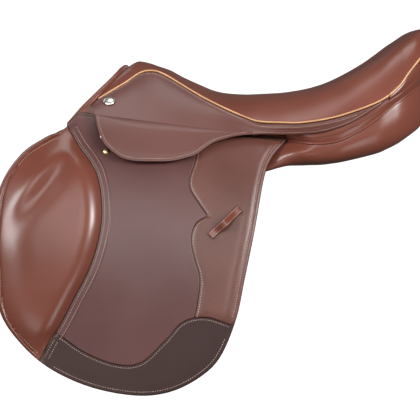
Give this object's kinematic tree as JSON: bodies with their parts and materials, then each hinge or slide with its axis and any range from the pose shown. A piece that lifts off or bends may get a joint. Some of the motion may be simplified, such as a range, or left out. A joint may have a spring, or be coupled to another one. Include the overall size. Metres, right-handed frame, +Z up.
{
  "type": "jumping saddle",
  "caption": "Close-contact English saddle in brown leather with long forward flaps, padded knee rolls, panels, stirrup bars and girth straps.",
  "frame": {"origin": "on the centre plane, under the deepest point of the seat, about 0.099 m below the leather", "axes": "+X runs back to the cantle, +Y to the right (off) side and +Z up; the flap that faces the picture is on -Y"},
  "size_m": [0.5792, 0.3868, 0.4676],
  "materials": {
    "smooth_leather": "semi-gloss, finished reddish brown",
    "grip_leather": "matt, soft grain",
    "dark_leather": "matt, dark brown",
    "strap_leather": "satin, brown",
    "tan_piping": "satin, tan",
    "beech": "plain laminated beech",
    "steel": "polished stainless steel",
    "brass": "polished",
    "foam": "open-cell seat padding",
    "webbing": "woven tape"
  },
  "bodies": {
    "tree": {"tree_head": "beech", "head_plate": "steel", "gullet_plate": "steel", "tree_rails": "beech", "rail_spring_left": "steel", "rail_spring_right": "steel", "seat_web": "webbing", "girth_web": "webbing", "seat_foam": "foam", "seat_cover": "smooth_leather", "seat_welt_left": "tan_piping", "seat_welt_right": "tan_piping", "cantle_welt": "tan_piping", "cantle_facing": "smooth_leather", "pommel_facing": "smooth_leather", "channel_lining": "strap_leather", "panel_left": "smooth_leather", "panel_right": "smooth_leather", "sweat_flap_left": "strap_leather", "sweat_flap_right": "strap_leather", "sweat_pad_left": "smooth_leather", "sweat_pad_right": "smooth_leather", "flap_top_left": "dark_leather", "flap_top_right": "dark_leather", "skirt_top_left": "grip_leather", "skirt_top_right": "grip_leather", "stirrup_bar_left": "steel", "stirrup_bar_right": "steel", "catch_pin_left": "steel", "catch_pin_right": "steel", "saddle_nail_left": "steel", "saddle_nail_right": "steel"},
    "flap_left": {"flap_left": "dark_leather", "knee_roll_left": "smooth_leather", "flap_grip_left": "grip_leather", "flap_pad_left": "smooth_leather", "flap_hem_left": "dark_leather", "keeper_left": "smooth_leather", "flap_stud_left": "brass", "dee_staple_left": "steel"},
    "skirt_left": {"skirt_left": "grip_leather"},
    "dee_left": {"dee_ring_left": "steel"},
    "catch_left": {"bar_catch_left": "steel"},
    "girth_strap_left_1": {"girth_strap_left_1": "strap_leather"},
    "girth_strap_left_2": {"girth_strap_left_2": "strap_leather"},
    "girth_strap_left_3": {"girth_strap_left_3": "strap_leather"},
    "flap_right": {"flap_right": "dark_leather", "knee_roll_right": "smooth_leather", "flap_grip_right": "grip_leather", "flap_pad_right": "smooth_leather", "flap_hem_right": "dark_leather", "keeper_right": "smooth_leather", "flap_stud_right": "brass", "dee_staple_right": "steel"},
    "skirt_right": {"skirt_right": "grip_leather"},
    "dee_right": {"dee_ring_right": "steel"},
    "catch_right": {"bar_catch_right": "steel"},
    "girth_strap_right_1": {"girth_strap_right_1": "strap_leather"},
    "girth_strap_right_2": {"girth_strap_right_2": "strap_leather"},
    "girth_strap_right_3": {"girth_strap_right_3": "strap_leather"}
  },
  "joints": [
    {"name": "flap_lift_left", "type": "hinge", "parent": "tree", "child": "flap_left", "pos_m": [0.045, -0.12804, 0.044], "axis": [-0.9885, 0.0879, 0.1234], "range_deg": [0, 80]},
    {"name": "skirt_lift_left", "type": "hinge", "parent": "flap_left", "child": "skirt_left", "pos_m": [0.045, -0.12804, 0.044], "axis": [-0.9885, 0.0879, 0.1234], "range_deg": [0, 55]},
    {"name": "dee_swing_left", "type": "hinge", "parent": "flap_left", "child": "dee_left", "pos_m": [-0.184, -0.10508, 0.05858], "axis": [-0.9885, 0.0879, 0.1234], "range_deg": [0, 6]},
    {"name": "catch_turn_left", "type": "hinge", "parent": "tree", "child": "catch_left", "pos_m": [-0.0754, -0.09044, 0.07703], "axis": [0.0029, -0.8036, 0.5952], "range_deg": [0, 80]},
    {"name": "strap_swing_left_1", "type": "hinge", "parent": "tree", "child": "girth_strap_left_1", "pos_m": [-0.1195, -0.0838, 0.06453], "axis": [0.0029, -0.8097, 0.5868], "range_deg": [-3, 3]},
    {"name": "strap_swing_left_2", "type": "hinge", "parent": "tree", "child": "girth_strap_left_2", "pos_m": [-0.0785, -0.08745, 0.05942], "axis": [0.0029, -0.8097, 0.5868], "range_deg": [-3, 3]},
    {"name": "strap_swing_left_3", "type": "hinge", "parent": "tree", "child": "girth_strap_left_3", "pos_m": [-0.0375, -0.09109, 0.0543], "axis": [0.0029, -0.8097, 0.5868], "range_deg": [-3, 3]},
    {"name": "flap_lift_right", "type": "hinge", "parent": "tree", "child": "flap_right", "pos_m": [0.045, 0.12804, 0.044], "axis": [0.9885, 0.0879, -0.1234], "range_deg": [0, 80]},
    {"name": "skirt_lift_right", "type": "hinge", "parent": "flap_right", "child": "skirt_right", "pos_m": [0.045, 0.12804, 0.044], "axis": [0.9885, 0.0879, -0.1234], "range_deg": [0, 55]},
    {"name": "dee_swing_right", "type": "hinge", "parent": "flap_right", "child": "dee_right", "pos_m": [-0.184, 0.10508, 0.05858], "axis": [0.9885, 0.0879, -0.1234], "range_deg": [0, 6]},
    {"name": "catch_turn_right", "type": "hinge", "parent": "tree", "child": "catch_right", "pos_m": [-0.0754, 0.09044, 0.07703], "axis": [-0.0029, -0.8036, -0.5952], "range_deg": [0, 80]},
    {"name": "strap_swing_right_1", "type": "hinge", "parent": "tree", "child": "girth_strap_right_1", "pos_m": [-0.1195, 0.0838, 0.06453], "axis": [0.0029, 0.8097, 0.5868], "range_deg": [-3, 3]},
    {"name": "strap_swing_right_2", "type": "hinge", "parent": "tree", "child": "girth_strap_right_2", "pos_m": [-0.0785, 0.08745, 0.05942], "axis": [0.0029, 0.8097, 0.5868], "range_deg": [-3, 3]},
    {"name": "strap_swing_right_3", "type": "hinge", "parent": "tree", "child": "girth_strap_right_3", "pos_m": [-0.0375, 0.09109, 0.0543], "axis": [0.0029, 0.8097, 0.5868], "range_deg": [-3, 3]}
  ]
}
